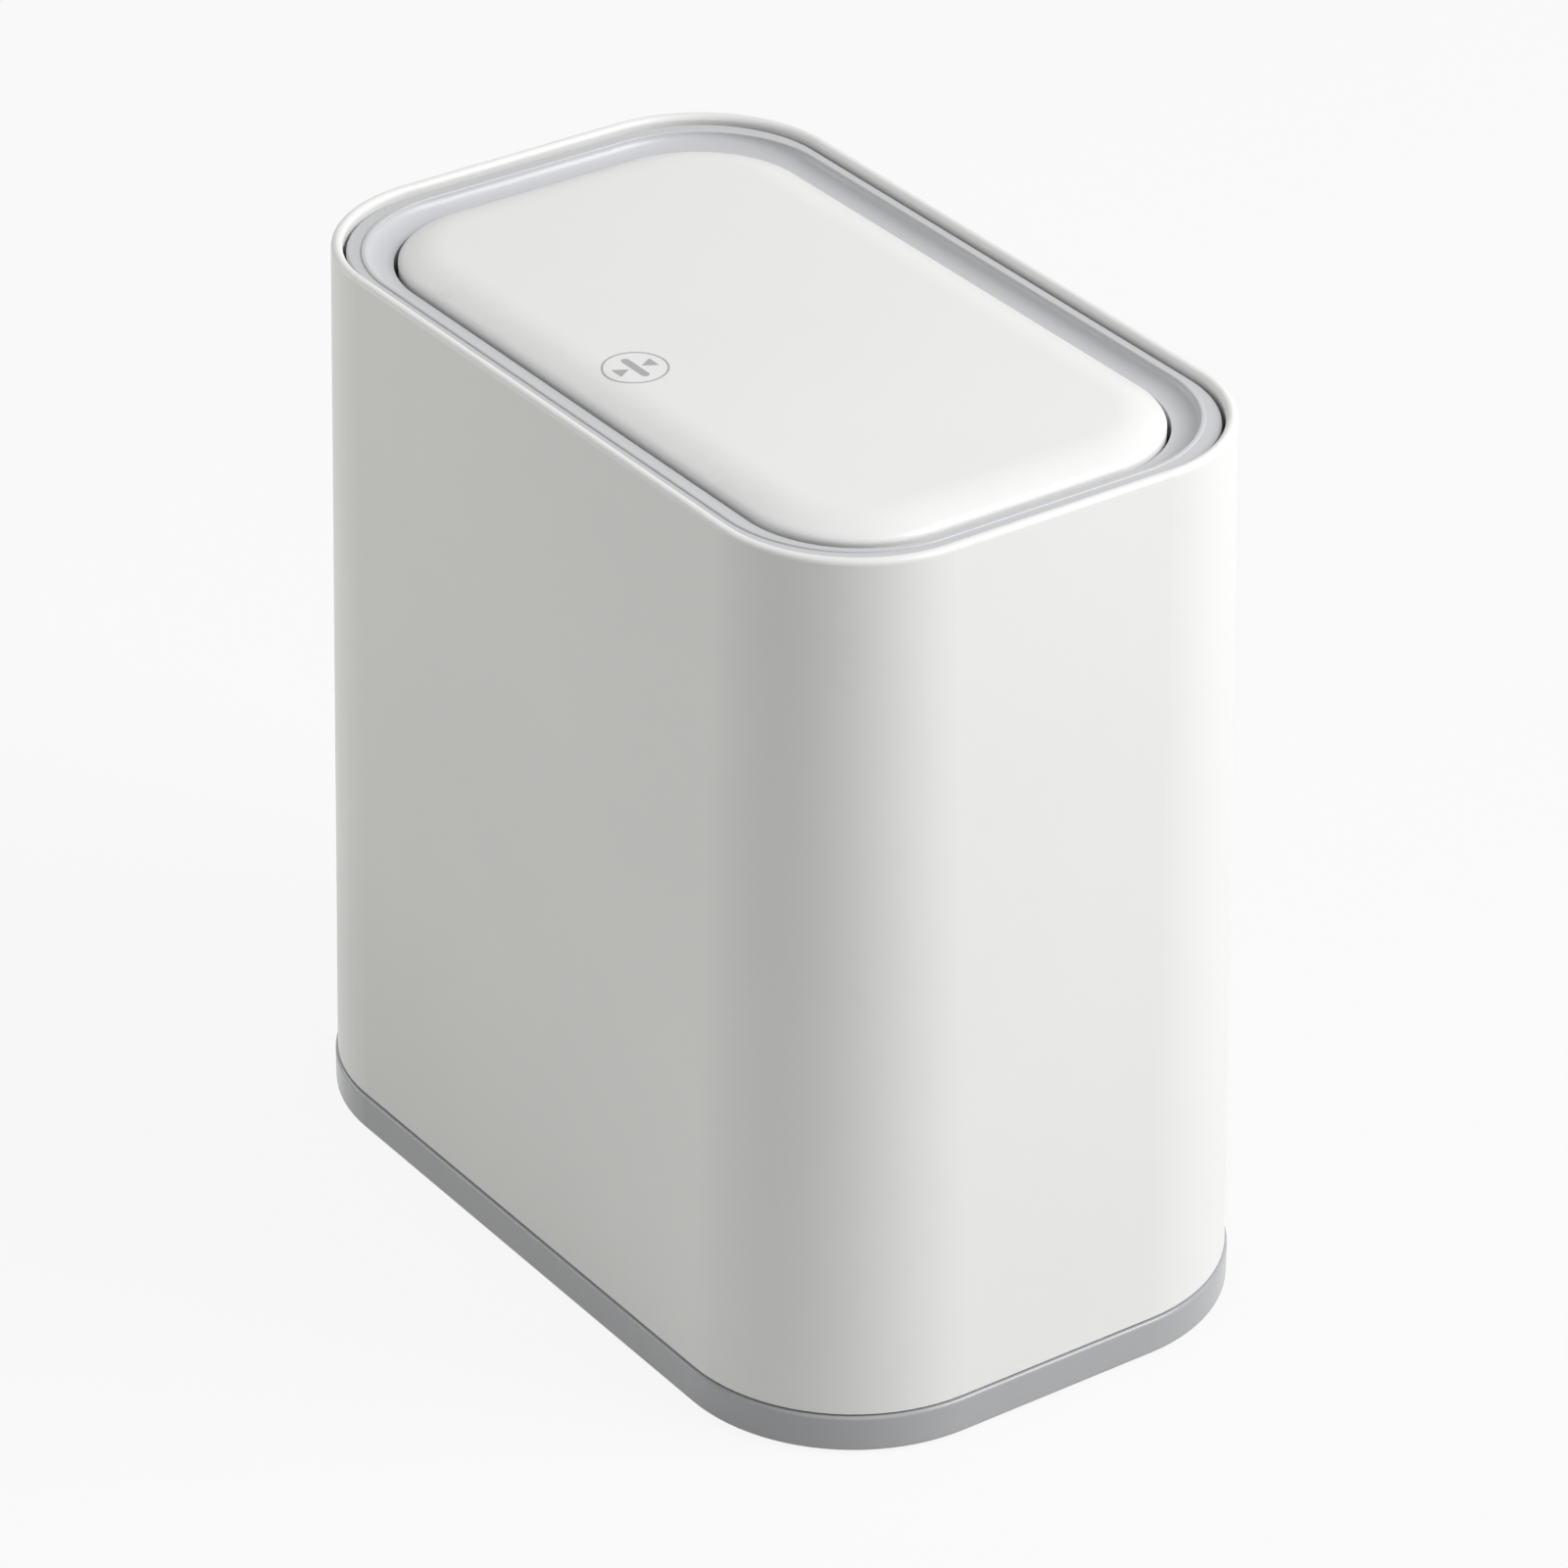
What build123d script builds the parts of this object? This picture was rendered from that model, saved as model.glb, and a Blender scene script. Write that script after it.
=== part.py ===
from build123d import *
import math
import os

# Push-top countertop bin: a white sleeve on a grey base, a lift-out bucket inside it, and a lid
# whose sprung flap is let go by a press on its front edge.
# Millimetres. +X runs along the length, the pressed edge is towards -Y and +Z is up. The origin is
# on the floor, under the middle of the base. A plan is (length, width, corner radius).

# ---- Sleeve ---------------------------------------------------------------------------------
HEIGHT = 247.0                 # floor to the top of the lip
RIM_PLAN = (236.0, 142.6, 39.0)
FOOT_PLAN = (248.4, 154.0, 47.8)
SLEEVE_BOTTOM = 11.4
SLEEVE_WALL = 2.2
LIP_THICKNESS = 2.9
LIP_ROUND = 1.35
LIP_DEPTH = 8.0                # height of the thickened band under the lip
LIP_RUNOUT = 3.0               # height over which the band tapers back to the wall
BOSS_RADIUS = 4.5
BOSS_HEIGHT = 22.0
BOSS_INSET = 11.5              # screw centre in from the corner of the base
BOSS_WEB = 2.4
BOSS_SEAT_RISE = 4.0           # foot of the sleeve's bosses above the base's top

# ---- Base -----------------------------------------------------------------------------------
BASE_PROUD = 0.65
BASE_BOTTOM = 0.6
BASE_TOP = 10.8
BASE_TOP_ROUND = 0.9
BASE_BOTTOM_ROUND = 1.2
BASE_WALL = 2.0
SEAM_DEPTH = 0.9               # how far the shadow groove goes in under the sleeve
FLOOR_TOP = 6.4
FLOOR_THICKNESS = 2.0
LOCATOR_HEIGHT = 8.0           # the wall that stands inside the sleeve
LOCATOR_GAP = 0.3
RIB_THICKNESS = 1.6
RIB_SETBACK = 0.8              # rib edges above the base's bottom edge
BASE_CROSS_RIBS = 7
BASE_LONG_RIBS = 3
PAD_WALL = 2.0
FOOT_RADIUS = 8.7
FOOT_THICKNESS = 3.0
FOOT_ROUND = 0.6
FOOT_GAP = 0.1

# ---- Screws ---------------------------------------------------------------------------------
SCREW_FIT = 0.05
BASE_SCREW = {"radius": 1.9, "head_radius": 3.8, "head": 2.0, "length": 20.0}
LATCH_SCREW = {"radius": 1.2, "head_radius": 2.4, "head": 1.4, "length": 7.0}
FLAP_SCREW = {"radius": 1.4, "head_radius": 2.7, "head": 1.5, "length": 6.6}
HEAD_GAP = 0.3
SOCKET_DEPTH = 0.9

# ---- Bucket ---------------------------------------------------------------------------------
FLANGE_INSET = 3.8             # edge of the flange in from the edge of the rim
FLANGE_THICKNESS = 1.8
FLANGE_DROP = 8.6              # top of the flange below the lip
BUCKET_INSET = 8.2             # bucket wall at its mouth in from the edge of the rim
BUCKET_WALL = 1.8
BUCKET_FOOT_PLAN = (206.0, 112.0, 27.0)
BUCKET_FOOT_ROUND = 7.0
BUCKET_BEAD = 1.6              # bead below the flange
BUCKET_BEAD_DROP = 9.0

# ---- Lid frame ------------------------------------------------------------------------------
FRAME_GAP = 0.85               # shadow gap between lip and frame
LEDGE_DROP = 2.1               # ledge below the top of the lip
LEDGE_INSIDE = (219.6, 128.8, 35.0)
MOUTH_PLAN = (208.0, 116.8, 31.5)
MOUTH_DROP = 5.2
FRAME_WALL = 1.8
FRAME_SKIRT = 15.8             # inner skirt below the mouth's edge
LEDGE_ROUND = 0.7
LEDGE_BEAD_WIDTH = 1.2         # raised bead on the ledge's inner edge
LEDGE_BEAD_HEIGHT = 0.4
LEDGE_BEAD_ROUND = 0.35
FRAME_LONG_RIBS = 7
FRAME_CROSS_RIBS = 3
FRAME_RIB_GAP = 0.2

# ---- Flap -----------------------------------------------------------------------------------
FLAP_GAP = 1.1
FLAP_EDGE_DROP = 4.9           # where the rounded edge meets the side wall, below the lip
FLAP_CROWN_DROP = 0.5          # flat top below the lip
FLAP_EDGE_RUN = 11.8           # plan width of the rounded edge
# Points on the rounded edge, as (share of the run in from the wall, share of the fall from the crown):
# a fall that steepens evenly away from the crown, then a small arc down to the wall.
FLAP_EDGE_PROFILE = (
    (0.0, 1.0), (0.018, 0.805), (0.072, 0.654), (0.195, 0.495), (0.364, 0.308),
    (0.534, 0.166), (0.703, 0.067), (0.873, 0.0123), (0.958, 0.0014), (1.0, 0.0),
)
FLAP_SKIN = 2.0
FLAP_SKIRT = 6.5
DOME_SECTIONS = 7
TRAY_GAP = 0.3
TRAY_THICKNESS = 2.0
TRAY_RISE = 0.8                # tray above the cover's bottom edge
TRAY_RIB = 1.4
TRAY_RIB_HEIGHT = 2.0
FLAP_BOSS_RADIUS = 3.4
FLAP_BOSS_X = 84.0
FLAP_BOSS_FRONT = -36.0
FLAP_BOSS_REAR = 30.0

# ---- Hinge ----------------------------------------------------------------------------------
HINGE_SETBACK = 7.8            # axis in from the flap's rear edge
HINGE_DROP = 5.6               # axis below the lip, level with the mouth's edge
PIN_RADIUS = 1.3
PIN_FIT = 0.05
PIN_HEAD_RADIUS = 2.2
PIN_HEAD = 1.1
BRACKET_INNER_X = 44.0
BRACKET_SPACING = 18.0
BRACKET_THICKNESS = 4.0
BRACKET_EYE = 2.9
BRACKET_STEM = 4.0
STEM_OFFSET = 2.5              # middle of the stem in front of the axis
BRACKET_DECK = 3.6
BRACKET_NOTCH_GAP = 0.8
NOTCH_DROP = 0.5
ARM_GAP = 0.5
ARM_THICKNESS = 4.0
ARM_EYE = 2.8
HINGE_RELIEF = 3.4             # hollow in the cover round the eyes, barrel and spring
TRAY_SETBACK = 7.5             # rear edge of the tray in front of the axis
DAMPER_RADIUS = 3.0
DAMPER_GAP = 0.3
DAMPER_LUG = 3.0
DAMPER_LUG_WIDTH = 6.0
DAMPER_BORE = 7.6
SPRING_WIRE = 0.8
SPRING_RADIUS = 2.35
SPRING_PITCH = 1.05
SPRING_TURNS = 6.5
SPRING_LIFT_LEG = 7.2
SPRING_REST_LEG = 5.5
SPRING_REST_GAP = 0.1
SPRING_BAR_WIDTH = 1.8
SPRING_BAR_HEIGHT = 1.8

# ---- Push latch -----------------------------------------------------------------------------
LATCH_INSET = 7.0              # collet in from the mouth's front edge
COLLET_RADIUS = 3.4
COLLET_BORE = 2.5
COLLET_LENGTH = 17.8
COLLET_LIP = 1.6               # radius of the opening that the fingers close round the keeper
COLLET_LIP_THICKNESS = 1.2
COLLET_SLOT = 0.8
COLLET_SLOT_DEPTH = 9.0
COLLET_GAP = 3.6               # collet below the strike plate, and its bore below the keeper
COLLET_FIT = 0.08
COLLAR_RADIUS = 4.2
COLLAR_HEIGHT = 3.0
COLLAR_RISE = 1.5              # room for the collar above its rest height
HOUSING_LENGTH = 14.0
HOUSING_DEPTH = 11.2
HOUSING_HEIGHT = 25.5
HOUSING_GAP = 3.9              # housing below the strike plate
HOUSING_ROUND = 1.5
EAR_REACH = 17.0
EAR_WIDTH = 6.4
EAR_THICKNESS = 2.4
EAR_SCREW_X = 13.5
SHELF_LENGTH = 36.0
SHELF_DEPTH = 14.4
SHELF_DROP = 11.4              # shelf below the mouth's edge
SHELF_THICKNESS = 2.4
SHELF_GAP = 0.3
SHELF_BOSS = 2.4
SHELF_BOSS_RADIUS = 2.9
CAP_THICKNESS = 2.2
CAP_PLUG = 1.2
COIL_WIRE = 0.7
COIL_RADIUS = 3.0
COIL_TURNS = 4.0
STRIKE_LENGTH = 18.0
STRIKE_WIDTH = 7.0
STRIKE_THICKNESS = 1.0
STAKE_X = 6.4
STAKE_RADIUS = 1.0
STAKE_HEAD_RADIUS = 1.7
STAKE_HEAD = 0.6
KEEPER_NECK = 1.1
KEEPER_TIP = 1.9
KEEPER_TIP_HEIGHT = 2.0
KEEPER_TIP_CHAMFER = 0.8
KEEPER_PLAY = 2.7              # keeper's tip below the collet's lip
KEEPER_HEAD = 1.8              # radius of the head let into the strike plate
KEEPER_HEAD_HEIGHT = 0.5

# ---- Stop bumpers ---------------------------------------------------------------------------
BUMPER_X = 50.0
BUMPER_RADIUS = 2.6
BUMPER_HEIGHT = 1.7
BUMPER_STEM = 1.2
BUMPER_INSET = 6.4             # bumper in from the mouth's front edge
BUMPER_TAB_LENGTH = 9.0
BUMPER_TAB_REACH = 10.0
BUMPER_GAP = 2.7               # press travel of the tray above the bumpers
BUMPER_TAB_THICKNESS = 2.2

# ---- Levels and places that follow ----------------------------------------------------------
FLANGE_TOP = HEIGHT - FLANGE_DROP
LEDGE_TOP = HEIGHT - LEDGE_DROP
MOUTH_TOP = HEIGHT - MOUTH_DROP
SKIRT_BOTTOM = MOUTH_TOP - FRAME_SKIRT
CROWN_TOP = HEIGHT - FLAP_CROWN_DROP
PILLOW_BOTTOM = HEIGHT - FLAP_EDGE_DROP
FLAP_BOTTOM = PILLOW_BOTTOM - FLAP_SKIRT
TRAY_BOTTOM = FLAP_BOTTOM + TRAY_RISE
TRAY_TOP = TRAY_BOTTOM + TRAY_THICKNESS
MOUTH_HALF_WIDTH = MOUTH_PLAN[1] / 2
AXIS_Y = MOUTH_HALF_WIDTH - FLAP_GAP - HINGE_SETBACK
AXIS_Z = HEIGHT - HINGE_DROP
BRACKET_OUTER_X = BRACKET_INNER_X + BRACKET_SPACING
ARM_X = BRACKET_OUTER_X + BRACKET_THICKNESS + ARM_GAP
LATCH_Y = LATCH_INSET - MOUTH_HALF_WIDTH
STRIKE_BOTTOM = TRAY_BOTTOM - STRIKE_THICKNESS
COLLET_TOP = STRIKE_BOTTOM - COLLET_GAP
COLLET_BOTTOM = COLLET_TOP - COLLET_LENGTH
KEEPER_TIP_TOP = COLLET_TOP - COLLET_LIP_THICKNESS - KEEPER_PLAY
KEEPER_BOTTOM = KEEPER_TIP_TOP - KEEPER_TIP_HEIGHT
SHELF_TOP = MOUTH_TOP - SHELF_DROP
SHELF_BOTTOM = SHELF_TOP - SHELF_THICKNESS
HOUSING_TOP = STRIKE_BOTTOM - HOUSING_GAP
HOUSING_BOTTOM = HOUSING_TOP - HOUSING_HEIGHT
COLLAR_BORE_TOP = COLLET_BOTTOM + COLLAR_HEIGHT + COLLAR_RISE
BUMPER_TAB_TOP = TRAY_BOTTOM - BUMPER_GAP - BUMPER_HEIGHT
BOSS_SEAT = BASE_TOP + BOSS_SEAT_RISE
SCREW_SEAT = FOOT_THICKNESS + BASE_SCREW["head"] + HEAD_GAP
BUMPER_Y = BUMPER_INSET - MOUTH_HALF_WIDTH
LEVEL_TOLERANCE = 0.001
SIDES = (-1, 1)


def inset(plan, by):
    """A plan moved inwards by a distance, or outwards where it is negative."""
    length, width, radius = plan
    return (length - 2 * by, width - 2 * by, radius - by)


def prism(plan, bottom, top):
    """An upright block with a rounded rectangular plan."""
    return Pos(0, 0, bottom) * extrude(RectangleRounded(*plan), top - bottom)


def tapered(lower, bottom, upper, top):
    """A block whose plan changes evenly from one level to another."""
    sections = [Pos(0, 0, bottom) * RectangleRounded(*lower), Pos(0, 0, top) * RectangleRounded(*upper)]
    return loft(sections)


def blend(first, last, share):
    """The plan that lies a share of the way from one plan to another."""
    return tuple(low + (high - low) * share for low, high in zip(first, last))


def domed(rim, rim_level, crown, crown_level):
    """A block whose side curves by a quarter ellipse from an upright rim to a level crown."""
    sections = []
    for number in range(DOME_SECTIONS):
        angle = math.radians(90 * number / (DOME_SECTIONS - 1))
        plan = blend(rim, crown, 1 - math.cos(angle))
        level = rim_level + (crown_level - rim_level) * math.sin(angle)
        sections.append(Pos(0, 0, level) * RectangleRounded(*plan))
    return loft(sections)


def sleeve_plan(level):
    """The sleeve's outside at a level: its walls lean in from the base to the rim."""
    return blend(FOOT_PLAN, RIM_PLAN, (level - SLEEVE_BOTTOM) / (HEIGHT - SLEEVE_BOTTOM))


def block(x, y, z):
    """A box from its (low, high) limits on each axis."""
    size = [high - low for low, high in (x, y, z)]
    middle = [(high + low) / 2 for low, high in (x, y, z)]
    return Pos(*middle) * Box(*size)


def post(radius, x, y, bottom, top):
    """An upright round post or hole."""
    return Pos(x, y, (bottom + top) / 2) * Cylinder(radius, top - bottom)


def rod(radius, low_x, high_x):
    """A round bar or hole on the hinge's axis."""
    middle = Pos((low_x + high_x) / 2, AXIS_Y, AXIS_Z)
    return middle * Rot(0, 90, 0) * Cylinder(radius, high_x - low_x)


def edges_at(shape, level):
    """The edges that lie flat at one level."""
    return shape.edges().filter_by_position(Axis.Z, level - LEVEL_TOLERANCE, level + LEVEL_TOLERANCE)


def corner_points():
    """The four screw centres, on the diagonals of the base's corners."""
    length, width, radius = FOOT_PLAN
    reach = (radius - BOSS_INSET) * math.sqrt(0.5)
    x = length / 2 - radius + reach
    y = width / 2 - radius + reach
    return [(sx * x, sy * y) for sx in SIDES for sy in SIDES]


def corner_bar(x, y, width, bottom, top):
    """An upright bar from a screw centre out towards its corner."""
    turn = math.degrees(math.atan2(math.copysign(1, y), math.copysign(1, x)))
    bar = Pos(BOSS_INSET / 2, 0, 0) * Box(BOSS_INSET, width, top - bottom)
    return Pos(x, y, (bottom + top) / 2) * Rot(0, 0, turn) * bar


def screw(kind, x, y, seat):
    """A screw pointing up, its head's bearing face at the seat level, with a hexagon socket."""
    head = post(kind["head_radius"], x, y, seat - kind["head"], seat)
    shank = post(kind["radius"], x, y, seat, seat + kind["length"])
    socket = Pos(x, y, seat - kind["head"]) * extrude(
        RegularPolygon(kind["head_radius"] / 2, 6), SOCKET_DEPTH)
    return head + shank - socket


# ---- Shell: sleeve, base, feet --------------------------------------------------------------
def outer_sleeve():
    outside = tapered(FOOT_PLAN, SLEEVE_BOTTOM, RIM_PLAN, HEIGHT)
    band = HEIGHT - LIP_DEPTH
    runout = band - LIP_RUNOUT
    wall_low = inset(FOOT_PLAN, SLEEVE_WALL)
    wall_high = inset(sleeve_plan(runout), SLEEVE_WALL)
    lip_low = inset(sleeve_plan(band), LIP_THICKNESS)
    inside = tapered(wall_low, SLEEVE_BOTTOM, wall_high, runout)
    inside += tapered(wall_high, runout, lip_low, band)
    inside += tapered(lip_low, band, inset(RIM_PLAN, LIP_THICKNESS), HEIGHT)
    sleeve = outside - inside
    sleeve = fillet(edges_at(sleeve, HEIGHT), LIP_ROUND)
    boss_top = BOSS_SEAT + BOSS_HEIGHT
    for x, y in corner_points():
        boss = post(BOSS_RADIUS, x, y, BOSS_SEAT, boss_top)
        web = corner_bar(x, y, BOSS_WEB, BOSS_SEAT, boss_top)
        sleeve += (boss + web) & outside
        sleeve -= post(BASE_SCREW["radius"] + SCREW_FIT, x, y, BOSS_SEAT, boss_top)
    return sleeve


def base_pan():
    plan = inset(FOOT_PLAN, -BASE_PROUD)
    pan = prism(plan, BASE_BOTTOM, BASE_TOP)
    pan = fillet(edges_at(pan, BASE_TOP), BASE_TOP_ROUND)
    pan = fillet(edges_at(pan, BASE_BOTTOM), BASE_BOTTOM_ROUND)
    locator_top = SLEEVE_BOTTOM + LOCATOR_HEIGHT
    locator = inset(sleeve_plan(locator_top), SLEEVE_WALL + LOCATOR_GAP)
    pan += prism(inset(FOOT_PLAN, SEAM_DEPTH), BASE_TOP, SLEEVE_BOTTOM)
    pan += prism(locator, SLEEVE_BOTTOM, locator_top)
    pan -= prism(inset(locator, BASE_WALL), FLOOR_TOP, locator_top)
    hollow = prism(inset(plan, BASE_WALL), BASE_BOTTOM, FLOOR_TOP - FLOOR_THICKNESS)
    pan -= hollow
    pan += hollow & base_ribs(plan)
    for x, y in corner_points():
        pan += post(FOOT_RADIUS + FOOT_GAP + PAD_WALL, x, y, BASE_BOTTOM, FLOOR_TOP)
        pan += post(BOSS_RADIUS, x, y, FLOOR_TOP, BOSS_SEAT)
        pan -= post(FOOT_RADIUS + FOOT_GAP, x, y, BASE_BOTTOM, FOOT_THICKNESS)
        pan -= post(BASE_SCREW["head_radius"] + HEAD_GAP, x, y, FOOT_THICKNESS, SCREW_SEAT)
        pan -= post(BASE_SCREW["radius"] + SCREW_FIT, x, y, SCREW_SEAT, BOSS_SEAT)
        pan -= corner_bar(x, y, BOSS_WEB + 2 * LOCATOR_GAP, BOSS_SEAT, locator_top)
    return pan


def base_ribs(plan):
    """A grid of ribs that stiffens the underside of the floor."""
    bottom = BASE_BOTTOM + RIB_SETBACK
    top = FLOOR_TOP - FLOOR_THICKNESS
    return rib_grid(plan, spaced(plan[0], BASE_CROSS_RIBS), spaced(plan[1], BASE_LONG_RIBS), bottom, top)


def spaced(length, count):
    """Places that divide a length, centred on the origin, into even bays."""
    return [length * (number / (count + 1) - 0.5) for number in range(1, count + 1)]


def rib_grid(plan, cross_places, long_places, bottom, top):
    """Upright ribs right across a plan at the given places along it and across it."""
    half = RIB_THICKNESS / 2
    along = (-plan[0] / 2, plan[0] / 2)
    across = (-plan[1] / 2, plan[1] / 2)
    ribs = [block((x - half, x + half), across, (bottom, top)) for x in cross_places]
    ribs += [block(along, (y - half, y + half), (bottom, top)) for y in long_places]
    return Part() + ribs


def base_screws():
    return Part() + [screw(BASE_SCREW, x, y, SCREW_SEAT) for x, y in corner_points()]


def rubber_feet():
    foot = fillet(edges_at(post(FOOT_RADIUS, 0, 0, 0, FOOT_THICKNESS), 0), FOOT_ROUND)
    return Part() + [Pos(x, y, 0) * foot for x, y in corner_points()]


# ---- Bucket ---------------------------------------------------------------------------------
def inner_bucket():
    mouth = inset(RIM_PLAN, BUCKET_INSET)
    tub = tapered(BUCKET_FOOT_PLAN, FLOOR_TOP, mouth, FLANGE_TOP)
    tub = fillet(edges_at(tub, FLOOR_TOP), BUCKET_FOOT_ROUND)
    floor = FLOOR_TOP + BUCKET_WALL
    room = tapered(inset(BUCKET_FOOT_PLAN, BUCKET_WALL), floor, inset(mouth, BUCKET_WALL), FLANGE_TOP)
    room = fillet(edges_at(room, floor), BUCKET_FOOT_ROUND - BUCKET_WALL)
    flange = prism(inset(RIM_PLAN, FLANGE_INSET), FLANGE_TOP - FLANGE_THICKNESS, FLANGE_TOP)
    bead_top = FLANGE_TOP - BUCKET_BEAD_DROP
    bead = prism(inset(mouth, -BUCKET_BEAD / 2), bead_top - BUCKET_BEAD, bead_top)
    return tub + flange + bead - room


# ---- Lid frame ------------------------------------------------------------------------------
def lid_frame():
    outline = inset(RIM_PLAN, LIP_THICKNESS + FRAME_GAP)
    skirt = inset(MOUTH_PLAN, -FRAME_WALL)
    outside = fillet(edges_at(prism(outline, FLANGE_TOP, LEDGE_TOP), LEDGE_TOP), LEDGE_ROUND)
    outside += prism(skirt, SKIRT_BOTTOM, MOUTH_TOP)
    plate_bottom = LEDGE_TOP - FRAME_WALL
    hollow = prism(inset(outline, FRAME_WALL), FLANGE_TOP, plate_bottom)
    hollow -= tapered(skirt, MOUTH_TOP - FRAME_WALL, inset(LEDGE_INSIDE, -FRAME_WALL / 2), plate_bottom)
    hollow -= prism(skirt, FLANGE_TOP, MOUTH_TOP - FRAME_WALL)
    frame = outside - hollow + (hollow & frame_ribs()) + ledge_bead()
    frame -= domed(LEDGE_INSIDE, LEDGE_TOP, MOUTH_PLAN, MOUTH_TOP)
    frame -= prism(MOUTH_PLAN, SKIRT_BOTTOM, MOUTH_TOP)
    return frame + hinge_brackets() + latch_shelf() + bumper_tabs()


def ledge_bead():
    """The raised bead between the ledge and the cove that runs down to the mouth."""
    top = LEDGE_TOP + LEDGE_BEAD_HEIGHT
    bead = prism(inset(LEDGE_INSIDE, -LEDGE_BEAD_WIDTH), LEDGE_TOP, top)
    bead -= prism(LEDGE_INSIDE, LEDGE_TOP, top)
    return fillet(edges_at(bead, top), LEDGE_BEAD_ROUND)


def frame_ribs():
    """Cross ribs between the two skirts, spaced along all four sides."""
    bottom = FLANGE_TOP + FRAME_RIB_GAP
    along = spread_over(MOUTH_PLAN[0] - 2 * MOUTH_PLAN[2], FRAME_LONG_RIBS)
    across = spread_over(MOUTH_PLAN[1] - 2 * MOUTH_PLAN[2], FRAME_CROSS_RIBS)
    return rib_grid(RIM_PLAN, along, across, bottom, LEDGE_TOP)


def spread_over(length, count):
    """Even places from one end of a length, centred on the origin, to the other."""
    return [length * (number / (count - 1) - 0.5) for number in range(count)]


def hinge_brackets():
    """Two pairs of upright eyes on a deck that stands off the rear skirt."""
    deck_top = SKIRT_BOTTOM + BRACKET_DECK
    stem_y = AXIS_Y - STEM_OFFSET
    rear = MOUTH_HALF_WIDTH + FRAME_WALL / 2
    stem = Pos(stem_y, (SKIRT_BOTTOM + AXIS_Z) / 2) * Rectangle(BRACKET_STEM, AXIS_Z - SKIRT_BOTTOM)
    profile = Pos(AXIS_Y, AXIS_Z) * Circle(BRACKET_EYE) + stem
    brackets = Part()
    for side in SIDES:
        for x in (BRACKET_INNER_X, BRACKET_OUTER_X):
            start = x if side > 0 else -x - BRACKET_THICKNESS
            brackets += Plane.YZ.offset(start) * extrude(profile, BRACKET_THICKNESS)
        span = sorted((side * BRACKET_INNER_X, side * (BRACKET_OUTER_X + BRACKET_THICKNESS)))
        brackets += block(span, (stem_y - BRACKET_STEM / 2, rear), (SKIRT_BOTTOM, deck_top))
    reach = BRACKET_OUTER_X + BRACKET_THICKNESS
    bar_front = stem_y - BRACKET_STEM / 2
    bar_top = AXIS_Z - SPRING_RADIUS - SPRING_WIRE / 2 - SPRING_REST_GAP
    brackets += block((-reach, -BRACKET_INNER_X), (bar_front, bar_front + SPRING_BAR_WIDTH),
                      (bar_top - SPRING_BAR_HEIGHT, bar_top))
    return brackets - rod(PIN_RADIUS + PIN_FIT, -reach, reach)


def latch_shelf():
    """The shelf inside the front skirt that the latch hangs in, with its screw bosses."""
    front = -MOUTH_HALF_WIDTH - FRAME_WALL / 2
    rear = front + SHELF_DEPTH
    shelf = block((-SHELF_LENGTH / 2, SHELF_LENGTH / 2), (front, rear), (SHELF_BOTTOM, SHELF_TOP))
    window_x = HOUSING_LENGTH / 2 + SHELF_GAP
    window_y = HOUSING_DEPTH / 2 + SHELF_GAP
    for side in SIDES:
        shelf += post(SHELF_BOSS_RADIUS, side * EAR_SCREW_X, LATCH_Y, SHELF_TOP, SHELF_TOP + SHELF_BOSS)
        shelf -= post(LATCH_SCREW["radius"] + SCREW_FIT, side * EAR_SCREW_X, LATCH_Y, SHELF_BOTTOM,
                      SHELF_TOP + SHELF_BOSS)
    return shelf - block((-window_x, window_x), (LATCH_Y - window_y, LATCH_Y + window_y),
                         (SHELF_BOTTOM, SHELF_TOP))


def bumper_tabs():
    front = -MOUTH_HALF_WIDTH - FRAME_WALL / 2
    rear = BUMPER_TAB_REACH - MOUTH_HALF_WIDTH
    bottom = BUMPER_TAB_TOP - BUMPER_TAB_THICKNESS
    tabs = Part()
    for side in SIDES:
        x = side * BUMPER_X
        tabs += block((x - BUMPER_TAB_LENGTH / 2, x + BUMPER_TAB_LENGTH / 2), (front, rear),
                      (bottom, BUMPER_TAB_TOP))
        tabs -= post(BUMPER_STEM + SCREW_FIT, x, BUMPER_Y, bottom, BUMPER_TAB_TOP)
    return tabs


def stop_bumpers():
    bottom = BUMPER_TAB_TOP - BUMPER_TAB_THICKNESS
    button = post(BUMPER_RADIUS, 0, 0, BUMPER_TAB_TOP, BUMPER_TAB_TOP + BUMPER_HEIGHT)
    button = fillet(edges_at(button, BUMPER_TAB_TOP + BUMPER_HEIGHT), BUMPER_HEIGHT / 2)
    button += post(BUMPER_STEM, 0, 0, bottom, BUMPER_TAB_TOP)
    return Part() + [Pos(side * BUMPER_X, BUMPER_Y, 0) * button for side in SIDES]


# ---- Hinge ----------------------------------------------------------------------------------
def hinge_pin():
    """The plain pin of the left pair, with a head outside the flap's arm."""
    outer = ARM_X + ARM_THICKNESS + DAMPER_GAP
    pin = rod(PIN_RADIUS, -outer, -BRACKET_INNER_X)
    return pin + rod(PIN_HEAD_RADIUS, -outer - PIN_HEAD, -outer)


def damper_shaft():
    """The damper's shaft on the right, which turns in the barrel and carries the flap's arm."""
    outer = ARM_X + ARM_THICKNESS + DAMPER_GAP
    barrel_end = BRACKET_OUTER_X - DAMPER_GAP
    shaft = rod(PIN_RADIUS, barrel_end - DAMPER_BORE + DAMPER_GAP, outer)
    return shaft + rod(PIN_HEAD_RADIUS, outer, outer + PIN_HEAD)


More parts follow.
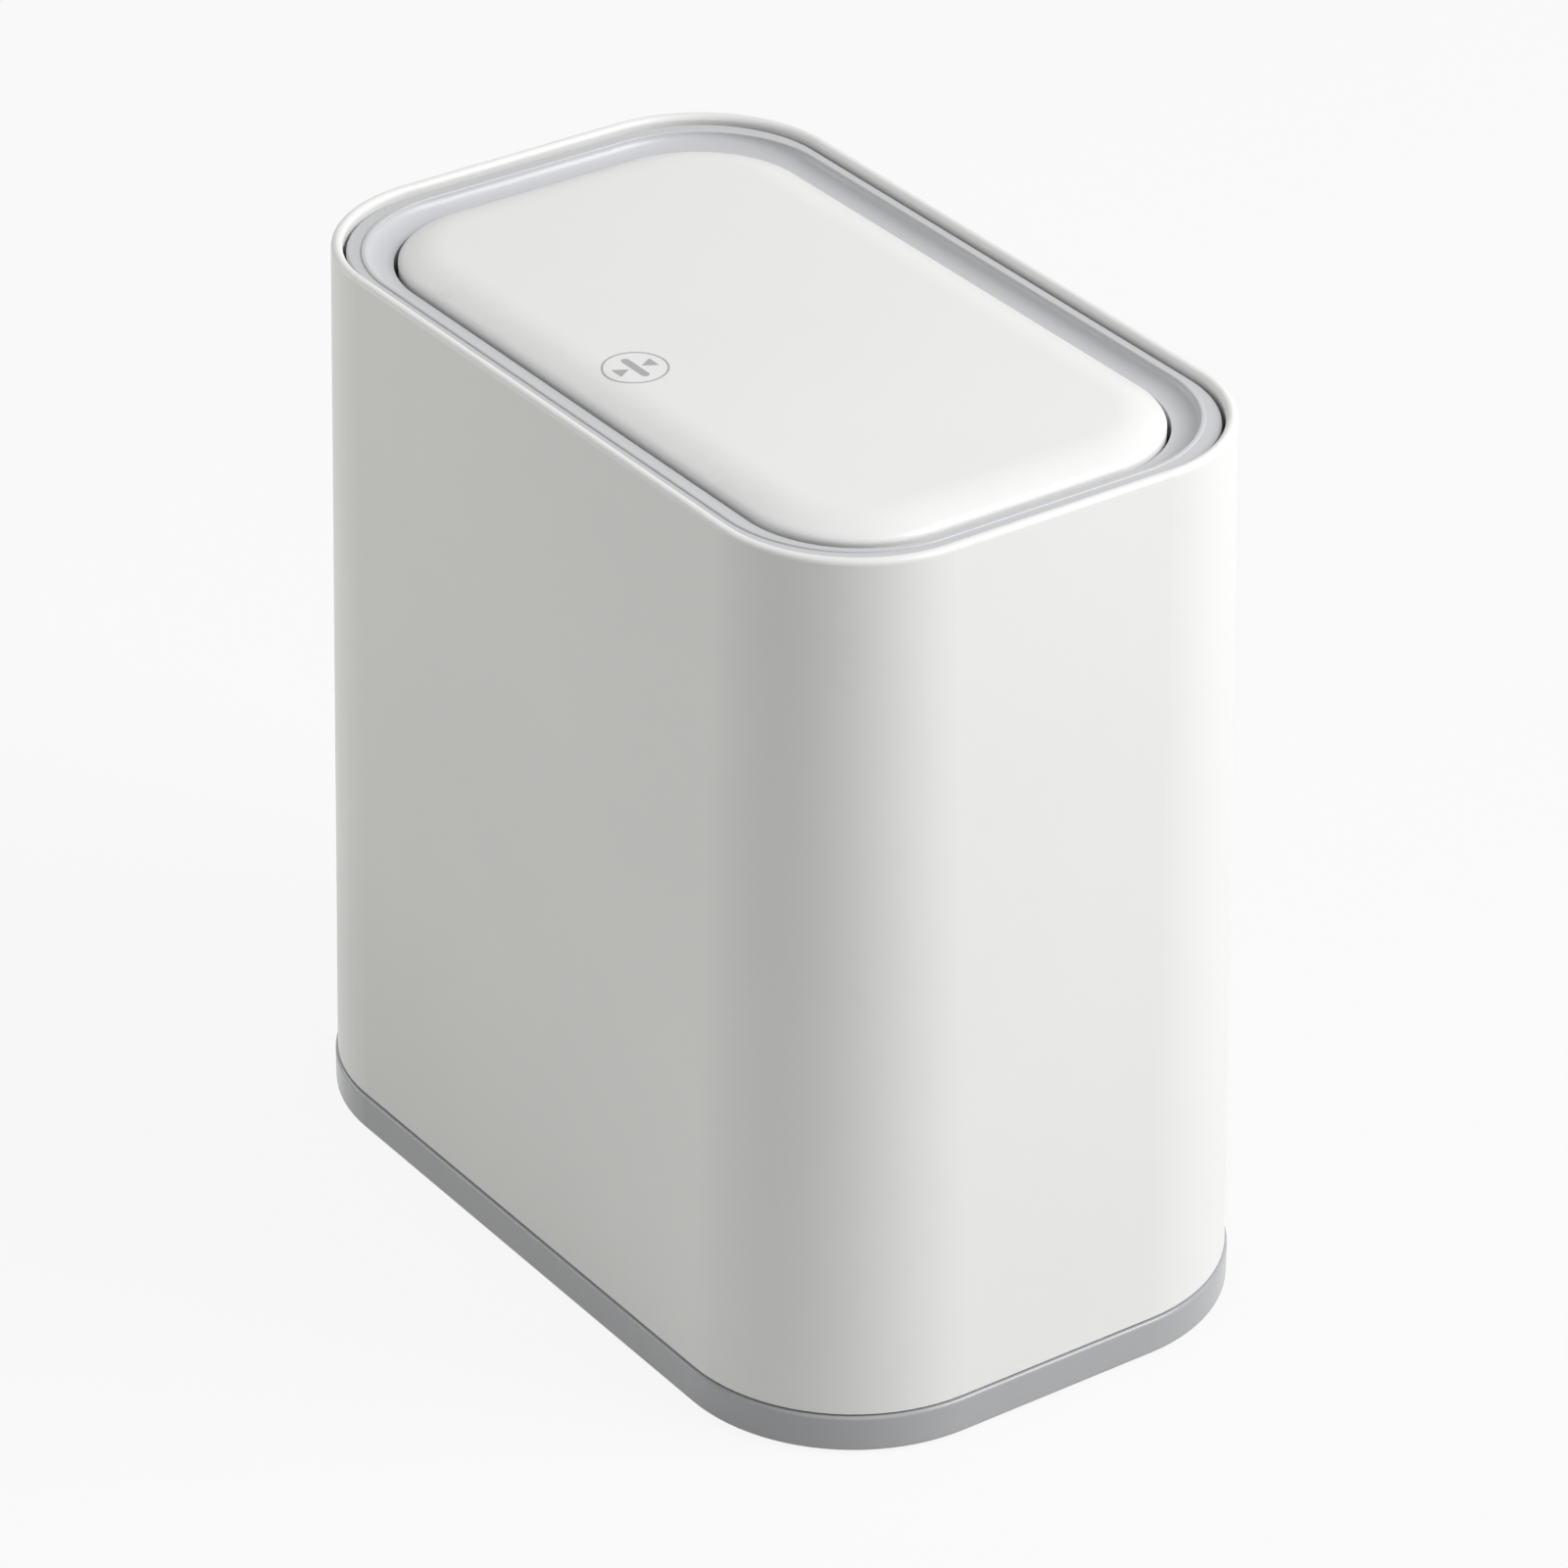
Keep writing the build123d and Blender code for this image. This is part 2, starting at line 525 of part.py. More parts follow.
def damper_body():
    """The barrel between the right pair of eyes, with a spigot and a lug that stops it turning."""
    start = BRACKET_INNER_X + BRACKET_THICKNESS + DAMPER_GAP
    end = BRACKET_OUTER_X - DAMPER_GAP
    barrel = rod(DAMPER_RADIUS, start, end)
    barrel = chamfer(barrel.edges().filter_by(GeomType.CIRCLE), DAMPER_GAP)
    barrel += rod(PIN_RADIUS, BRACKET_INNER_X, start)
    deck_top = SKIRT_BOTTOM + BRACKET_DECK
    lug_y = AXIS_Y - STEM_OFFSET
    middle = (start + end) / 2
    barrel += block((middle - DAMPER_LUG_WIDTH / 2, middle + DAMPER_LUG_WIDTH / 2),
                    (lug_y - DAMPER_LUG / 2, lug_y + DAMPER_LUG / 2), (deck_top, AXIS_Z))
    return barrel - rod(PIN_RADIUS + PIN_FIT, end - DAMPER_BORE, end)


def torsion_spring():
    """A coil round the left pin: its lower leg rests on the bar, its upper leg lifts the cover."""
    coil_length = SPRING_PITCH * SPRING_TURNS
    gap_middle = -(BRACKET_INNER_X + BRACKET_OUTER_X + BRACKET_THICKNESS) / 2
    start_x = gap_middle - coil_length / 2
    frame = Plane(origin=(start_x, AXIS_Y, AXIS_Z), x_dir=(0, 0, -1), z_dir=(1, 0, 0))
    path = Helix(SPRING_PITCH, coil_length, SPRING_RADIUS)
    section = Plane(origin=path @ 0, z_dir=path % 0) * Circle(SPRING_WIRE / 2)
    spring = frame * sweep(section, path=path)
    ends = (
        (start_x, AXIS_Z - SPRING_RADIUS, SPRING_REST_LEG),
        (start_x + coil_length, AXIS_Z + SPRING_RADIUS, SPRING_LIFT_LEG),
    )
    for x, z, length in ends:
        spring += Pos(x, AXIS_Y - length / 2, z) * Rot(90, 0, 0) * Cylinder(SPRING_WIRE / 2, length)
        spring += Pos(x, AXIS_Y, z) * Sphere(SPRING_WIRE / 2)
    return spring


# ---- Flap -----------------------------------------------------------------------------------
def pillow(plan, bottom, crown, run):
    """A block with a flat crown and the flap's soft edge all round."""
    rounds = [(inset(plan, run * share), crown - (crown - bottom) * fall) for share, fall in FLAP_EDGE_PROFILE]
    return loft([Pos(0, 0, level) * RectangleRounded(*outline) for outline, level in rounds])


def flap_plan():
    return inset(MOUTH_PLAN, FLAP_GAP)


def boss_points():
    return [(side * FLAP_BOSS_X, y) for side in SIDES for y in (FLAP_BOSS_FRONT, FLAP_BOSS_REAR)]


def flap_cover():
    """The domed white skin, open below, with four screw bosses and room for the hinge at the back."""
    plan = flap_plan()
    inner = inset(plan, FLAP_SKIN)
    cover = prism(plan, FLAP_BOTTOM, PILLOW_BOTTOM)
    cover += pillow(plan, PILLOW_BOTTOM, CROWN_TOP, FLAP_EDGE_RUN)
    room = prism(inner, FLAP_BOTTOM, PILLOW_BOTTOM)
    room += pillow(inner, PILLOW_BOTTOM, CROWN_TOP - FLAP_SKIN, FLAP_EDGE_RUN - FLAP_SKIN)
    cover -= room
    for x, y in boss_points():
        cover += post(FLAP_BOSS_RADIUS, x, y, TRAY_TOP, CROWN_TOP - FLAP_SKIN / 2)
        cover -= post(FLAP_SCREW["radius"] + SCREW_FIT, x, y, TRAY_TOP, TRAY_BOTTOM + FLAP_SCREW["length"])
    low = BRACKET_INNER_X - BRACKET_NOTCH_GAP
    high = BRACKET_OUTER_X + BRACKET_THICKNESS + BRACKET_NOTCH_GAP
    relief_end = ARM_X + ARM_THICKNESS + DAMPER_GAP + PIN_HEAD + DAMPER_GAP
    for side in SIDES:
        cover -= block(sorted((side * low, side * high)), (AXIS_Y, MOUTH_HALF_WIDTH),
                       (FLAP_BOTTOM, AXIS_Z - NOTCH_DROP))
        cover -= rod(HINGE_RELIEF, *sorted((side * low, side * relief_end)))
    return cover


def flap_tray():
    """The plate that closes the flap from below, with its hinge arms and the stakes of the latch."""
    plan = inset(flap_plan(), FLAP_SKIN + TRAY_GAP)
    rear = AXIS_Y - TRAY_SETBACK
    kept = block((-plan[0] / 2, plan[0] / 2), (-plan[1] / 2, rear), (TRAY_BOTTOM, TRAY_TOP))
    tray = (prism(plan, TRAY_BOTTOM, TRAY_TOP) & kept) + tray_ribs(plan, rear)
    arm_front = rear - TRAY_SETBACK
    stem = Pos((arm_front + AXIS_Y) / 2, (TRAY_BOTTOM + AXIS_Z) / 2)
    arm = Pos(AXIS_Y, AXIS_Z) * Circle(ARM_EYE) + stem * Rectangle(AXIS_Y - arm_front, AXIS_Z - TRAY_BOTTOM)
    for side in SIDES:
        start = ARM_X if side > 0 else -ARM_X - ARM_THICKNESS
        tray += Plane.YZ.offset(start) * extrude(arm, ARM_THICKNESS)
        tray += post(STAKE_RADIUS, side * STAKE_X, LATCH_Y, STRIKE_BOTTOM, TRAY_BOTTOM)
        tray += post(STAKE_HEAD_RADIUS, side * STAKE_X, LATCH_Y, STRIKE_BOTTOM - STAKE_HEAD, STRIKE_BOTTOM)
    reach = ARM_X + ARM_THICKNESS
    tray -= rod(PIN_RADIUS + PIN_FIT, -reach, reach)
    for x, y in boss_points():
        tray -= post(FLAP_SCREW["radius"] + SCREW_FIT, x, y, TRAY_BOTTOM, TRAY_TOP)
    return tray


def tray_ribs(plan, rear):
    """A rim and three cross ribs on top of the tray."""
    top = TRAY_TOP + TRAY_RIB_HEIGHT
    length, width, radius = plan
    half = TRAY_RIB / 2
    ribs = Part()
    for x in (-FLAP_BOSS_X / 2, 0, FLAP_BOSS_X / 2):
        ribs += block((x - half, x + half), (radius - width / 2, rear - radius), (TRAY_TOP, top))
    for y in (radius - width / 2, rear - radius):
        ribs += block((radius - length / 2, length / 2 - radius), (y - half, y + half), (TRAY_TOP, top))
    return ribs


def flap_screws():
    return Part() + [screw(FLAP_SCREW, x, y, TRAY_BOTTOM) for x, y in boss_points()]


def strike_plate():
    """The steel plate under the tray that carries the keeper."""
    width = (LATCH_Y - STRIKE_WIDTH / 2, LATCH_Y + STRIKE_WIDTH / 2)
    plate = block((-STRIKE_LENGTH / 2, STRIKE_LENGTH / 2), width, (STRIKE_BOTTOM, TRAY_BOTTOM))
    plate = fillet(plate.edges().filter_by(Axis.Z), STRIKE_THICKNESS)
    for side in SIDES:
        plate -= post(STAKE_RADIUS + SCREW_FIT, side * STAKE_X, LATCH_Y, STRIKE_BOTTOM, TRAY_BOTTOM)
    plate -= post(KEEPER_NECK + SCREW_FIT, 0, LATCH_Y, STRIKE_BOTTOM, TRAY_BOTTOM)
    return plate - post(KEEPER_HEAD + SCREW_FIT, 0, LATCH_Y, TRAY_BOTTOM - KEEPER_HEAD_HEIGHT, TRAY_BOTTOM)


def keeper_pin():
    """The steel pin whose wider tip the collet's fingers hold."""
    tip = chamfer(edges_at(post(KEEPER_TIP, 0, 0, 0, KEEPER_TIP_HEIGHT), 0), KEEPER_TIP_CHAMFER)
    pin = Pos(0, LATCH_Y, KEEPER_BOTTOM) * tip
    pin += post(KEEPER_NECK, 0, LATCH_Y, KEEPER_TIP_TOP, TRAY_BOTTOM)
    return pin + post(KEEPER_HEAD, 0, LATCH_Y, TRAY_BOTTOM - KEEPER_HEAD_HEIGHT, TRAY_BOTTOM)


# ---- Push latch -----------------------------------------------------------------------------
def latch_block(bottom, top):
    """The rounded outline that the latch's housing and cap share, between two levels."""
    half_x = HOUSING_LENGTH / 2
    half_y = HOUSING_DEPTH / 2
    body = block((-half_x, half_x), (LATCH_Y - half_y, LATCH_Y + half_y), (bottom, top))
    return fillet(body.edges().filter_by(Axis.Z), HOUSING_ROUND)


def latch_housing():
    ear_bottom = SHELF_BOTTOM - EAR_THICKNESS
    width = (LATCH_Y - EAR_WIDTH / 2, LATCH_Y + EAR_WIDTH / 2)
    ears = block((-EAR_REACH, EAR_REACH), width, (ear_bottom, SHELF_BOTTOM))
    body = latch_block(HOUSING_BOTTOM, HOUSING_TOP) + fillet(ears.edges().filter_by(Axis.Z), HOUSING_ROUND)
    body -= post(COLLET_RADIUS + COLLET_FIT, 0, LATCH_Y, HOUSING_BOTTOM, HOUSING_TOP)
    body -= post(COLLAR_RADIUS + COLLET_FIT, 0, LATCH_Y, HOUSING_BOTTOM, COLLAR_BORE_TOP)
    for side in SIDES:
        screw_x = side * EAR_SCREW_X
        body -= post(LATCH_SCREW["radius"] + SCREW_FIT, screw_x, LATCH_Y, ear_bottom, SHELF_BOTTOM)
    return body


def latch_cap():
    plug = post(COLLAR_RADIUS, 0, LATCH_Y, HOUSING_BOTTOM, HOUSING_BOTTOM + CAP_PLUG)
    return latch_block(HOUSING_BOTTOM - CAP_THICKNESS, HOUSING_BOTTOM) + plug


def latch_screws():
    seat = SHELF_BOTTOM - EAR_THICKNESS
    return Part() + [screw(LATCH_SCREW, side * EAR_SCREW_X, LATCH_Y, seat) for side in SIDES]


def latch_collet():
    """The sliding collet: four sprung fingers round the keeper, above a collar that the spring lifts."""
    collet = post(COLLET_RADIUS, 0, LATCH_Y, COLLET_BOTTOM, COLLET_TOP)
    collet += post(COLLAR_RADIUS, 0, LATCH_Y, COLLET_BOTTOM, COLLET_BOTTOM + COLLAR_HEIGHT)
    lip_bottom = COLLET_TOP - COLLET_LIP_THICKNESS
    collet -= post(COLLET_BORE, 0, LATCH_Y, KEEPER_BOTTOM - COLLET_GAP, lip_bottom)
    collet -= post(COLLET_LIP, 0, LATCH_Y, lip_bottom, COLLET_TOP)
    slots = Box(2 * COLLET_RADIUS, COLLET_SLOT, COLLET_SLOT_DEPTH)
    slots += Box(COLLET_SLOT, 2 * COLLET_RADIUS, COLLET_SLOT_DEPTH)
    return collet - Pos(0, LATCH_Y, COLLET_TOP - COLLET_SLOT_DEPTH / 2) * slots


def latch_spring():
    """The compression spring between the cap and the collet's collar."""
    bottom = HOUSING_BOTTOM + CAP_PLUG + COIL_WIRE / 2
    top = COLLET_BOTTOM - COIL_WIRE / 2
    path = Helix((top - bottom) / COIL_TURNS, top - bottom, COIL_RADIUS)
    section = Plane(origin=path @ 0, z_dir=path % 0) * Circle(COIL_WIRE / 2)
    return Pos(0, LATCH_Y, bottom) * sweep(section, path=path)


NODES = {
    "outer_sleeve": outer_sleeve,
    "base_pan": base_pan,
    "base_screws": base_screws,
    "rubber_feet": rubber_feet,
    "inner_bucket": inner_bucket,
    "lid_frame": lid_frame,
    "latch_housing": latch_housing,
    "latch_cap": latch_cap,
    "latch_screws": latch_screws,
    "latch_spring": latch_spring,
    "stop_bumpers": stop_bumpers,
    "damper_body": damper_body,
    "torsion_spring": torsion_spring,
    "hinge_pin": hinge_pin,
    "damper_shaft": damper_shaft,
    "flap_cover": flap_cover,
    "flap_tray": flap_tray,
    "flap_screws": flap_screws,
    "strike_plate": strike_plate,
    "keeper_pin": keeper_pin,
    "latch_collet": latch_collet,
}

os.makedirs("parts", exist_ok=True)
for name, make in NODES.items():
    export_step(make(), f"parts/{name}.step")
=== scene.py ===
import math

import bpy
from mathutils import Matrix, Vector


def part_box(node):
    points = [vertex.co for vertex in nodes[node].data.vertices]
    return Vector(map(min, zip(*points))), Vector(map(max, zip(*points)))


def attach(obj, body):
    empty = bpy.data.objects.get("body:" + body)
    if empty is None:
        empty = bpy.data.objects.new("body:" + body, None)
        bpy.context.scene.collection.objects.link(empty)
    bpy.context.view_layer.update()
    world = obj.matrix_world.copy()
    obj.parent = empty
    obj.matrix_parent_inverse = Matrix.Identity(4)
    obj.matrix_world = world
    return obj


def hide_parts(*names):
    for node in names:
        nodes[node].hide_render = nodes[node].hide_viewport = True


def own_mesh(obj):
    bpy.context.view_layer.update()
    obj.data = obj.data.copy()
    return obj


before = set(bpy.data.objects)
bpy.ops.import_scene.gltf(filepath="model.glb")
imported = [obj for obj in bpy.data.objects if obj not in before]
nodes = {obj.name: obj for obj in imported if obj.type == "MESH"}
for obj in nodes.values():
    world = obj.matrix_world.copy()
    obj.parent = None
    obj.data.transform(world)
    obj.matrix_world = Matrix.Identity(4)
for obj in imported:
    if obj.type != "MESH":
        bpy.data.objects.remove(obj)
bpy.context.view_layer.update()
MM = 0.001


# ---- Colour and node helpers ----------------------------------------------------------------
def linear(colour):
    """An sRGB hex colour as linear red, green, blue and alpha."""
    parts = [int(colour[i:i + 2], 16) / 255 for i in (1, 3, 5)]
    return tuple(c / 12.92 if c <= 0.04045 else ((c + 0.055) / 1.055) ** 2.4
                 for c in parts) + (1.0,)


def add(tree, kind, settings=None, links=None):
    """Adds a node, sets its properties and sockets, and links sockets from other outputs."""
    node = tree.nodes.new(kind)
    for key, value in (settings or {}).items():
        if isinstance(key, str) and hasattr(node, key):
            setattr(node, key, value)
        else:
            node.inputs[key].default_value = value
    for key, output in (links or {}).items():
        tree.links.new(output, node.inputs[key])
    return node


def material(name):
    """A new material, and its node tree with nothing in it."""
    made = bpy.data.materials.new(name)
    made.use_nodes = True
    made.node_tree.nodes.clear()
    return made, made.node_tree


def cycles_per_metre(size_mm):
    """The scale of a noise whose features are this many millimetres apart."""
    return 1000.0 / size_mm


# ---- Moulded plastics -----------------------------------------------------------------------
CLOUD_MM = 70.0
PEEL_HEIGHT = 0.02 * MM


def moulded_plastic(name, colour, shade, roughness, ior=1.49, grain_mm=1.1, grain=0.05,
                    rough_spread=0.06):
    """An injection-moulded plastic: an even colour with a faint cloud from the melt, a gloss that
    wanders a little where the mould was polished, and the fine orange peel of the tool's face."""
    made, tree = material(name)
    place = add(tree, "ShaderNodeTexCoord")
    spot = place.outputs["Object"]
    cloud = add(tree, "ShaderNodeTexNoise",
                {"Scale": cycles_per_metre(CLOUD_MM), "Detail": 2.0}, {"Vector": spot})
    tint = add(tree, "ShaderNodeMix", {"data_type": "RGBA", 6: linear(colour), 7: linear(shade)},
               {0: cloud.outputs["Fac"]})
    gloss = add(tree, "ShaderNodeMapRange",
                {"interpolation_type": "SMOOTHSTEP", "From Min": 0.2, "From Max": 0.8,
                 "To Min": roughness - rough_spread / 2, "To Max": roughness + rough_spread / 2},
                {"Value": cloud.outputs["Fac"]})
    peel = add(tree, "ShaderNodeTexNoise",
               {"Scale": cycles_per_metre(grain_mm), "Detail": 3.0, "Roughness": 0.6},
               {"Vector": spot})
    bump = add(tree, "ShaderNodeBump", {"Strength": grain, "Distance": PEEL_HEIGHT},
               {"Height": peel.outputs["Fac"]})
    shader = add(tree, "ShaderNodeBsdfPrincipled", {"IOR": ior},
                 {"Base Color": tint.outputs[2], "Roughness": gloss.outputs[0],
                  "Normal": bump.outputs[0]})
    add(tree, "ShaderNodeOutputMaterial", links={"Surface": shader.outputs[0]})
    return made


# Polypropylene moulded in a satin tool: a near-white body colour and a broad soft highlight.
white_polypropylene = moulded_plastic("white_polypropylene", "#EDEDEB", "#E9EAE8", 0.40)
# The same plastic with cool grey masterbatch, from a finer satin tool: pale, with a tighter shine.
light_grey_polypropylene = moulded_plastic(
    "light_grey_polypropylene", "#C9CACD", "#C5C6C9", 0.36)
# More of the masterbatch, from a polished tool: a mid grey whose rounded edges catch the light.
base_grey_polypropylene = moulded_plastic(
    "base_grey_polypropylene", "#ACAEB1", "#A8AAAD", 0.24, rough_spread=0.04)
# The bucket is moulded in an unpolished tool, so it is duller and a shade deeper.
bucket_polypropylene = moulded_plastic(
    "bucket_polypropylene", "#A9ABAD", "#A3A5A7", 0.55, grain_mm=1.6, grain=0.12)
# Acetal for sliding parts: black, dense and slippery, with a waxy shine.
black_acetal = moulded_plastic("black_acetal", "#1B1B1D", "#202022", 0.32, ior=1.48)
# The damper's barrel is the same acetal, a little paler and duller.
damper_acetal = moulded_plastic("damper_acetal", "#2A2A2C", "#252527", 0.35, ior=1.48)
# Thermoplastic rubber from a blasted tool: dark, dull and slightly powdery.
soft_rubber = moulded_plastic(
    "soft_rubber", "#2B2B2C", "#333334", 0.78, ior=1.52, grain_mm=0.9, grain=0.3)


# ---- Metals ---------------------------------------------------------------------------------
SCRATCH_MM = 0.4
SCRATCH_HEIGHT = 0.01 * MM
SCRATCH_STRENGTH = 0.12
SMOOTHEST, ROUGHEST = 0.8, 1.25


def drawn_metal(name, colour, shade, roughness, along):
    """A bright metal with fine marks drawn out along one axis, which streak its highlight."""
    made, tree = material(name)
    place = add(tree, "ShaderNodeTexCoord")
    stretch = add(tree, "ShaderNodeMapping", {"Scale": along},
                  {"Vector": place.outputs["Object"]})
    marks = add(tree, "ShaderNodeTexNoise",
                {"Scale": cycles_per_metre(SCRATCH_MM), "Detail": 4.0},
                {"Vector": stretch.outputs[0]})
    tint = add(tree, "ShaderNodeMix", {"data_type": "RGBA", 6: linear(colour), 7: linear(shade)},
               {0: marks.outputs["Fac"]})
    gloss = add(tree, "ShaderNodeMapRange",
                {"From Min": 0.25, "From Max": 0.75,
                 "To Min": roughness * SMOOTHEST, "To Max": roughness * ROUGHEST},
                {"Value": marks.outputs["Fac"]})
    bump = add(tree, "ShaderNodeBump",
               {"Strength": SCRATCH_STRENGTH, "Distance": SCRATCH_HEIGHT},
               {"Height": marks.outputs["Fac"]})
    shader = add(tree, "ShaderNodeBsdfPrincipled", {"Metallic": 1.0},
                 {"Base Color": tint.outputs[2], "Roughness": gloss.outputs[0],
                  "Normal": bump.outputs[0]})
    add(tree, "ShaderNodeOutputMaterial", links={"Surface": shader.outputs[0]})
    return made


# Zinc plate on screws: a bluish, slightly cloudy bright metal with no grain.
zinc_plated_steel = drawn_metal(
    "zinc_plated_steel", "#C3C7CC", "#AEB2B8", 0.34, along=(1.0, 1.0, 1.0))
# Ground pins: bright, with marks that run round the hinge pins, so they are short along X.
ground_steel = drawn_metal("ground_steel", "#C9C9C8", "#B7B7B6", 0.22, along=(1.0, 0.08, 0.08))
# Spring wire straight from the drawing die: darker, with a dull grey shine.
spring_wire = drawn_metal("spring_wire", "#A2A19E", "#868583", 0.30, along=(0.3, 1.0, 1.0))
# Nickel-plated strip that was rolled lengthways: warm, and streaked along X.
rolled_nickel = drawn_metal("rolled_nickel", "#CBC6BC", "#BBB6AC", 0.26, along=(0.06, 1.0, 1.0))


# ---- Printing ink ---------------------------------------------------------------------------
INK_GRAIN_MM = 0.8


def pad_print():
    """Grey pad-printing ink: a thin, slightly uneven film that is duller than the plastic."""
    made, tree = material("pad_print_ink")
    place = add(tree, "ShaderNodeTexCoord")
    film = add(tree, "ShaderNodeTexNoise",
               {"Scale": cycles_per_metre(INK_GRAIN_MM), "Detail": 2.0},
               {"Vector": place.outputs["Object"]})
    tint = add(tree, "ShaderNodeMix",
               {"data_type": "RGBA", 6: linear("#A4A6A7"), 7: linear("#B2B3B4")},
               {0: film.outputs["Fac"]})
    shader = add(tree, "ShaderNodeBsdfPrincipled", {"Roughness": 0.55, "IOR": 1.5},
                 {"Base Color": tint.outputs[2]})
    add(tree, "ShaderNodeOutputMaterial", links={"Surface": shader.outputs[0]})
    return made


pad_print_ink = pad_print()


# ---- Finishes of the solids -----------------------------------------------------------------
FINISHES = {
    "outer_sleeve": white_polypropylene, "flap_cover": white_polypropylene,
    "lid_frame": light_grey_polypropylene, "flap_tray": light_grey_polypropylene,
    "base_pan": base_grey_polypropylene, "inner_bucket": bucket_polypropylene,
    "rubber_feet": soft_rubber, "stop_bumpers": soft_rubber,
    "latch_housing": black_acetal, "latch_cap": black_acetal, "latch_collet": black_acetal,
    "damper_body": damper_acetal,
    "base_screws": zinc_plated_steel, "latch_screws": zinc_plated_steel,
    "flap_screws": zinc_plated_steel,
    "hinge_pin": ground_steel, "damper_shaft": ground_steel, "keeper_pin": ground_steel,
    "latch_spring": spring_wire, "torsion_spring": spring_wire,
    "strike_plate": rolled_nickel,
}
for node_name, finish in FINISHES.items():
    nodes[node_name].data.materials.clear()
    nodes[node_name].data.materials.append(finish)


# ---- Press mark on the flap -----------------------------------------------------------------
FLAP_CROWN = 246.5 * MM
ABOVE_FLAP = 2.0 * MM
MARK_X = 0.0
MARK_Y = -41.0 * MM
MARK_RADIUS = 8.35 * MM
MARK_LINE = 0.55 * MM
RING_POINTS = 128
BAR_LENGTH = 10.8 * MM
BAR_WIDTH = 2.2 * MM
BAR_POINTS = 32
BAR_STRIP = 1.0 * MM
ARROW_RADIUS = 2.5 * MM
ARROW_OFFSET = 4.3 * MM
ARROW_POINTS = 3
ARROW_STRIP = 0.7 * MM
INK_THICKNESS = 0.02 * MM
ALONG_X = (1, 0, 0)
ALONG_Y = (0, 1, 0)
MARK_PLACE = Vector((MARK_X, MARK_Y, FLAP_CROWN + ABOVE_FLAP))


def start_print(name, vertices, radius, offset=0.0, turn=0.0):
    """Adds a flat outline above the mark's place and opens it with all of it selected."""
    bpy.ops.object.select_all(action="DESELECT")
    bpy.ops.mesh.primitive_circle_add(
        vertices=vertices, radius=radius, fill_type="NGON", rotation=(0, 0, turn),
        location=MARK_PLACE + Vector((0, offset, 0)))
    piece = bpy.context.active_object
    piece.name = name
    piece.data.name = name
    bpy.ops.object.transform_apply(location=True, rotation=True, scale=True)
    bpy.ops.object.mode_set(mode="EDIT")
    bpy.ops.mesh.select_all(action="SELECT")
    return piece


def slice_print(centre, reach, step, normal):
    """Cuts the outline into strips that are narrow enough to follow the flap's crown."""
    for number in range(-int(reach / step), int(reach / step) + 1):
        bpy.ops.mesh.select_all(action="SELECT")
        bpy.ops.mesh.bisect(
            plane_co=centre + Vector(normal) * (number * step), plane_no=normal)


def select_beyond(piece, limit, side):
    """Selects the vertices that lie past a limit on one side along X."""
    bpy.ops.mesh.select_all(action="DESELECT")
    bpy.ops.object.mode_set(mode="OBJECT")
    for vertex in piece.data.vertices:
        vertex.select = side * (vertex.co.x - limit) > 0
    bpy.ops.object.mode_set(mode="EDIT")


def finish_print(piece):
    """Lays a flat outline on the flap's crown and gives it the thickness of the ink."""
    bpy.ops.object.mode_set(mode="OBJECT")
    drape = piece.modifiers.new("drape", "SHRINKWRAP")
    drape.target = nodes["flap_cover"]
    drape.wrap_method = "PROJECT"
    drape.use_project_z = True
    drape.use_negative_direction = True
    drape.use_positive_direction = False
    bpy.ops.object.modifier_apply(modifier="drape")
    film = piece.modifiers.new("film", "SOLIDIFY")
    film.thickness = INK_THICKNESS
    film.offset = 1.0
    bpy.ops.object.modifier_apply(modifier="film")
    piece.data.materials.append(pad_print_ink)
    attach(piece, "flap")


def mark_ring():
    """The thin ring: a disc whose middle is inset and taken out."""
    ring = start_print("press_mark_ring", RING_POINTS, MARK_RADIUS)
    bpy.ops.mesh.inset(thickness=MARK_LINE)
    bpy.ops.mesh.delete(type="FACE")
    finish_print(ring)


def mark_bar():
    """A round-ended bar: a disc cut across its middle, whose halves are moved apart along X."""
    bar = start_print("press_mark_bar", BAR_POINTS, BAR_WIDTH / 2)
    half = (BAR_LENGTH - BAR_WIDTH) / 2
    clear_of_cut = BAR_WIDTH / 1000
    bpy.ops.mesh.bisect(plane_co=MARK_PLACE, plane_no=ALONG_X)
    for side in (-1, 1):
        select_beyond(bar, MARK_X + side * clear_of_cut, side)
        bpy.ops.transform.translate(value=(side * half, 0, 0))
    slice_print(MARK_PLACE, BAR_LENGTH / 2, BAR_STRIP, ALONG_X)
    finish_print(bar)


def mark_arrow(name, side):
    """A small arrowhead that points at the middle of the ring."""
    turn = math.radians(180 if side > 0 else 0)
    arrow = start_print(name, ARROW_POINTS, ARROW_RADIUS, side * ARROW_OFFSET, turn)
    centre = MARK_PLACE + Vector((0, side * ARROW_OFFSET, 0))
    slice_print(centre, ARROW_RADIUS, ARROW_STRIP, ALONG_Y)
    slice_print(centre, ARROW_RADIUS, ARROW_STRIP, ALONG_X)
    finish_print(arrow)


mark_ring()
mark_bar()
mark_arrow("press_mark_arrow_rear", 1)
mark_arrow("press_mark_arrow_front", -1)


# ---- Latch spring ---------------------------------------------------------------------------
COIL_WIRE = 0.7 * MM
COIL_TURNS = 4
WIRE_POINTS = 12
STEPS_A_TURN = 32
SHARP_FROM = math.radians(40)


